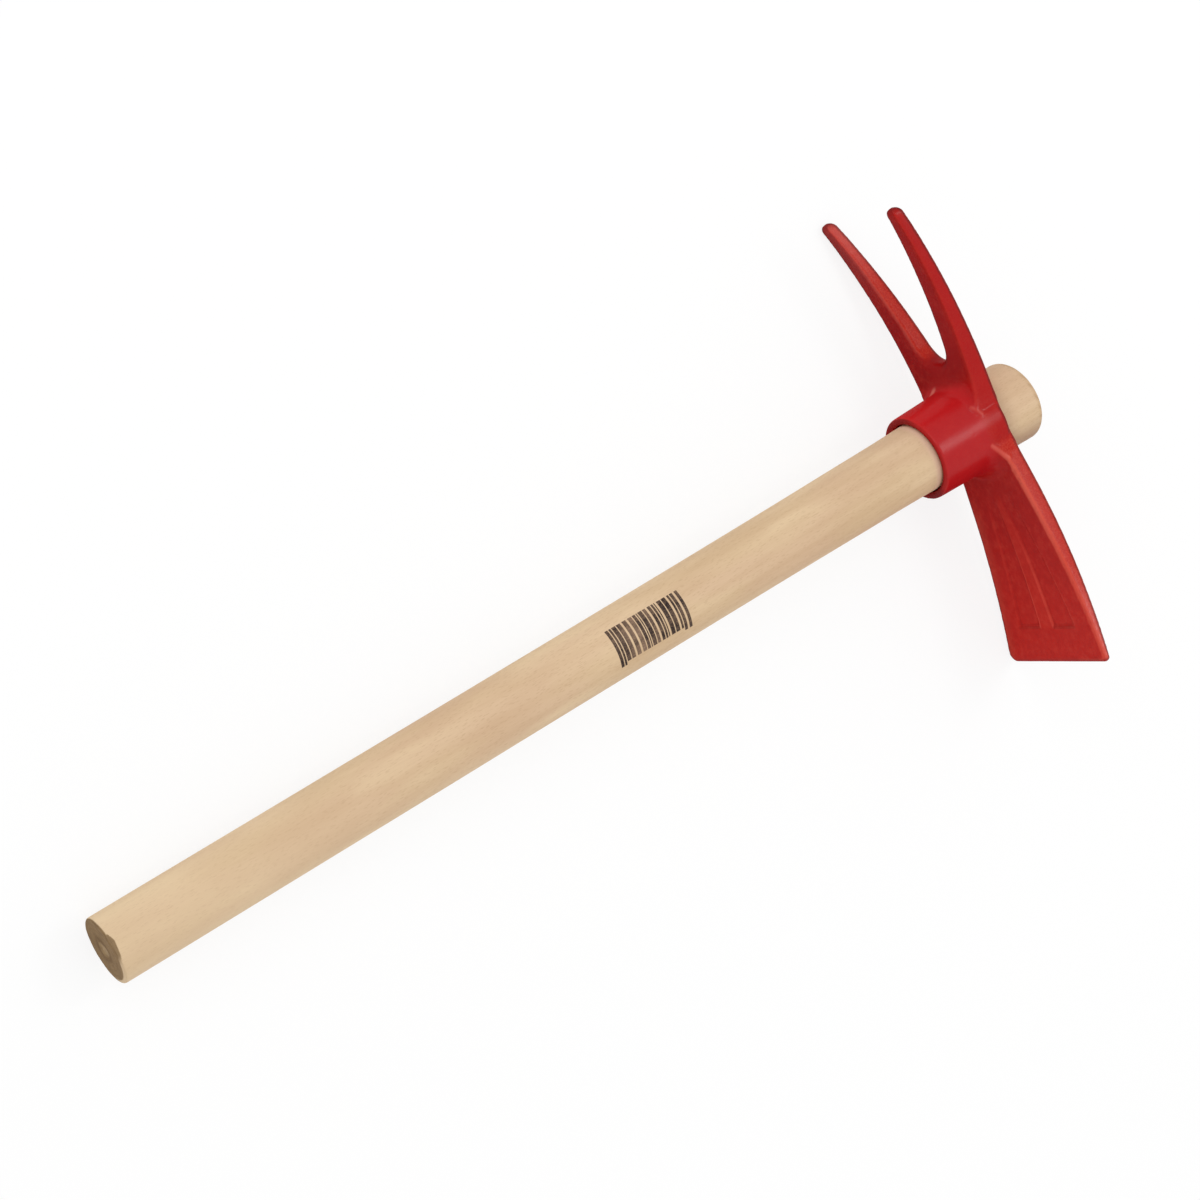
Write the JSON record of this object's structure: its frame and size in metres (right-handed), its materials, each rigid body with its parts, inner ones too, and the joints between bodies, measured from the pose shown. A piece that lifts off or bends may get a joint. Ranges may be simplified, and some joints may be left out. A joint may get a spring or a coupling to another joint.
{
  "type": "fork hoe",
  "caption": "Short-handled garden fork hoe: a steel head, hoe blade on one side and fork tines on the other, slipped over a turned wooden handle with a flared end.",
  "frame": {"origin": "centre of the flat butt end of the handle", "axes": "+X along the handle's axis from the butt to the head, +Y from the axis to the tines (the blade points along -Y), +Z square to both, so the tool lies on its side with the blade's width upright"},
  "size_m": [0.503, 0.2323, 0.0719],
  "materials": {
    "beech": "turned and sanded, bare light beech",
    "red_paint": "semi-gloss red paint over a rough cast surface"
  },
  "bodies": {
    "root": {"handle": "beech", "head": "red_paint"}
  },
  "joints": []
}
